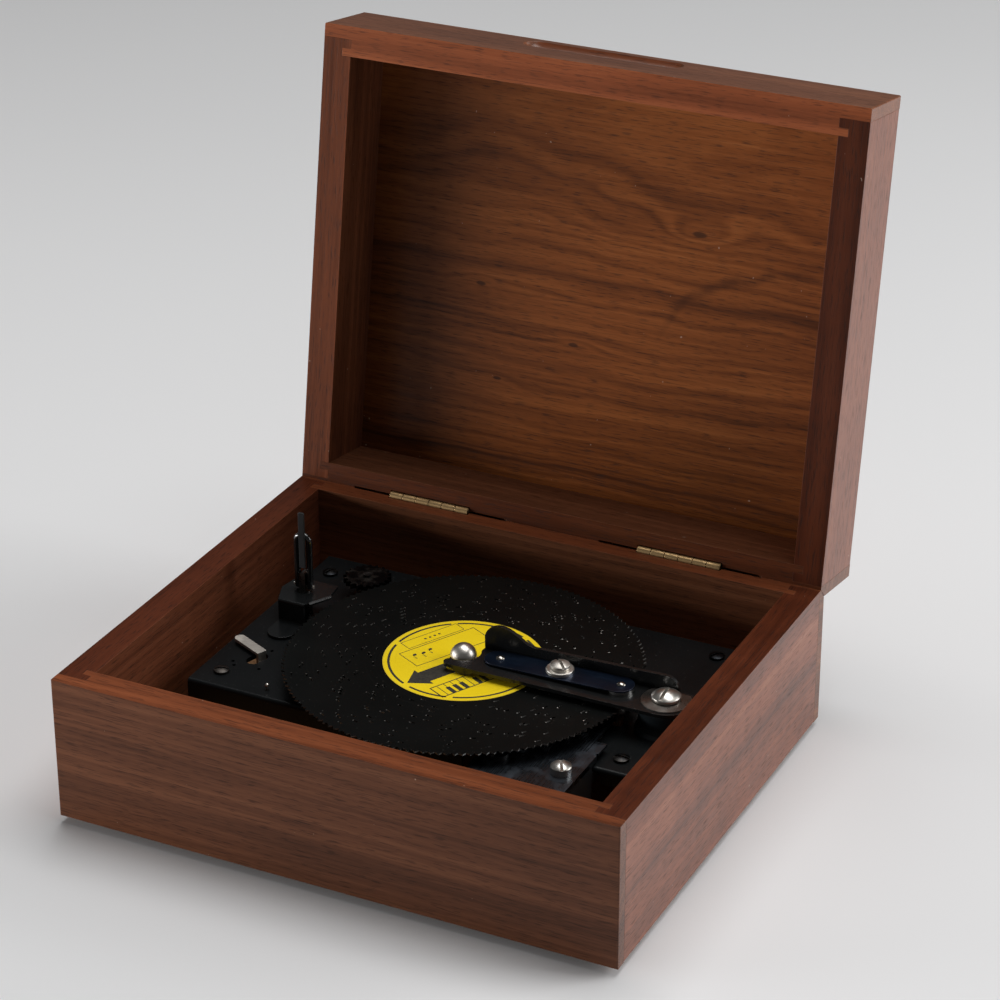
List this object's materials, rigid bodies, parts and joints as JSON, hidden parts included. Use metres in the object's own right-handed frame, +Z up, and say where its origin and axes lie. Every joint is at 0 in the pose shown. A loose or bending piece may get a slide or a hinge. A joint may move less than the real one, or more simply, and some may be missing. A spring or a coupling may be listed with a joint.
{
  "type": "disc music box",
  "caption": "Wooden box with a hinged lid holding a spring-driven disc musical movement with comb, pressure arm, winding key and stop lever.",
  "frame": {"origin": "middle of the open box's footprint, on the surface it stands on", "axes": "+X to the right seen from the front, +Y to the back where the lid hinges, +Z up"},
  "size_m": [0.19, 0.2077, 0.2057],
  "materials": {
    "walnut_case": "satin lacquered walnut",
    "walnut_lid": "satin lacquered walnut",
    "walnut_panel": "satin lacquered figured walnut",
    "panel_wood": "plain thin board",
    "felt": "felt pads",
    "hinge_brass": "polished brass",
    "gear_brass": "satin brass",
    "bed_black": "satin black paint",
    "disc_black": "satin black paint",
    "arm_black": "satin black paint",
    "label_yellow": "printed coated label",
    "nickel": "satin nickel plate",
    "screw_nickel": "polished nickel plate",
    "blade_blue": "blued spring steel",
    "comb_steel": "ground hardened steel",
    "steel": "turned steel",
    "cast_grey": "painted iron",
    "key_black": "gloss black enamel",
    "spring_blue": "blued spring steel"
  },
  "bodies": {
    "case": {"arm_pivot_screw": "screw_nickel", "arm_post": "arm_black", "base_back_board": "walnut_case", "base_bottom_panel": "panel_wood", "base_front_board": "walnut_case", "base_left_board": "walnut_case", "base_right_board": "walnut_case", "bed_screws": "screw_nickel", "bedplate": "bed_black", "case_screws": "steel", "comb": "comb_steel", "comb_base": "cast_grey", "comb_screws": "screw_nickel", "edge_guide": "bed_black", "feet": "felt", "governor_bracket": "gear_brass", "hinge_base_leaves": "hinge_brass", "hinge_pins": "hinge_brass", "hook_pin": "screw_nickel", "lower_plate": "gear_brass", "movement_pillars": "steel", "pivot_studs": "steel", "spindle": "nickel", "star_axle": "steel", "star_bracket": "steel", "support_screws": "steel"},
    "lid": {"lid_front_board": "walnut_lid", "lid_back_board": "walnut_lid", "lid_left_board": "walnut_lid", "lid_right_board": "walnut_lid", "lid_top_panel": "walnut_panel", "hinge_lid_leaves": "hinge_brass"},
    "arm": {"pressure_arm": "arm_black", "arm_spring_washer": "spring_blue", "blade_spring": "blade_blue", "blade_spacer": "steel", "blade_washer": "screw_nickel", "blade_screw": "screw_nickel", "roller_hangers": "arm_black", "roller_axle": "steel"},
    "rollers": {"pressure_rollers": "steel"},
    "music_disc": {"disc": "disc_black", "disc_label": "label_yellow"},
    "stars": {"star_wheels": "steel"},
    "barrel": {"spring_barrel": "gear_brass", "barrel_cover": "gear_brass", "mainspring": "spring_blue"},
    "drive": {"drive_arbor": "steel", "rim_sprocket": "gear_brass"},
    "second": {"second_wheel": "gear_brass"},
    "third": {"worm_wheel": "gear_brass"},
    "governor": {"worm_shaft": "steel", "governor_fly": "gear_brass"},
    "winding": {"winding_arbor": "steel", "ratchet_wheel": "steel"},
    "key": {"key_bow": "key_black", "key_strip": "cast_grey", "key_pin": "screw_nickel"},
    "ratchet_click": {"click": "steel"},
    "stop": {"stop_lever": "nickel"}
  },
  "joints": [
    {"name": "lid_hinge", "type": "hinge", "parent": "case", "child": "lid", "pos_m": [0, 0.05272, 0.051], "axis": [1, 0, 0], "range_deg": [0, 99]},
    {"name": "arm_swing", "type": "hinge", "parent": "case", "child": "arm", "pos_m": [0.074, -0.02288, 0.0439], "axis": [0, 0, 1], "range_deg": [0, 60]},
    {"name": "roller_spin", "type": "hinge", "parent": "arm", "child": "rollers", "pos_m": [0.046, -0.02288, 0.0426], "axis": [1, 0, 0], "continuous": true},
    {"name": "disc_spin", "type": "hinge", "parent": "case", "child": "music_disc", "pos_m": [0.005, -0.02288, 0.04125], "axis": [0, 0, 1], "continuous": true},
    {"name": "star_spin", "type": "hinge", "parent": "case", "child": "stars", "pos_m": [0.046, -0.02288, 0.0364], "axis": [1, 0, 0], "continuous": true},
    {"name": "barrel_spin", "type": "hinge", "parent": "case", "child": "barrel", "pos_m": [-0.0613, -0.00638, 0.0195], "axis": [0, 0, 1], "continuous": true},
    {"name": "drive_spin", "type": "hinge", "parent": "case", "child": "drive", "pos_m": [-0.04834, 0.01274, 0.03], "axis": [0, 0, 1], "continuous": true},
    {"name": "second_spin", "type": "hinge", "parent": "case", "child": "second", "pos_m": [-0.04521, -0.01988, 0.028], "axis": [0, 0, 1], "continuous": true},
    {"name": "third_spin", "type": "hinge", "parent": "case", "child": "third", "pos_m": [-0.0424, -0.03583, 0.025], "axis": [0, 0, 1], "continuous": true},
    {"name": "governor_spin", "type": "hinge", "parent": "case", "child": "governor", "pos_m": [-0.045, -0.04643, 0.0223], "axis": [1, 0, 0], "continuous": true},
    {"name": "winding_spin", "type": "hinge", "parent": "case", "child": "winding", "pos_m": [-0.0613, -0.00638, 0.032], "axis": [0, 0, 1], "continuous": true},
    {"name": "key_fold", "type": "hinge", "parent": "winding", "child": "key", "pos_m": [-0.0613, -0.00638, 0.0447], "axis": [-1, 0, 0], "range_deg": [0, 85]},
    {"name": "click_lift", "type": "hinge", "parent": "case", "child": "ratchet_click", "pos_m": [-0.0593, 0.00712, 0.0317], "axis": [0, 0, 1], "range_deg": [-8, 0], "stiffness_Nm_per_rad": 0.01},
    {"name": "stop_swing", "type": "hinge", "parent": "case", "child": "stop", "pos_m": [-0.047, -0.04408, 0.031], "axis": [0, 0, 1], "range_deg": [0, 10]}
  ],
  "couplings": [
    {"joint": "drive_spin", "follows": "barrel_spin", "ratio": -2.3},
    {"joint": "disc_spin", "follows": "barrel_spin", "ratio": 0.30667},
    {"joint": "second_spin", "follows": "barrel_spin", "ratio": -3.2857},
    {"joint": "third_spin", "follows": "barrel_spin", "ratio": 9.3878},
    {"joint": "governor_spin", "follows": "barrel_spin", "ratio": -281.63}
  ]
}
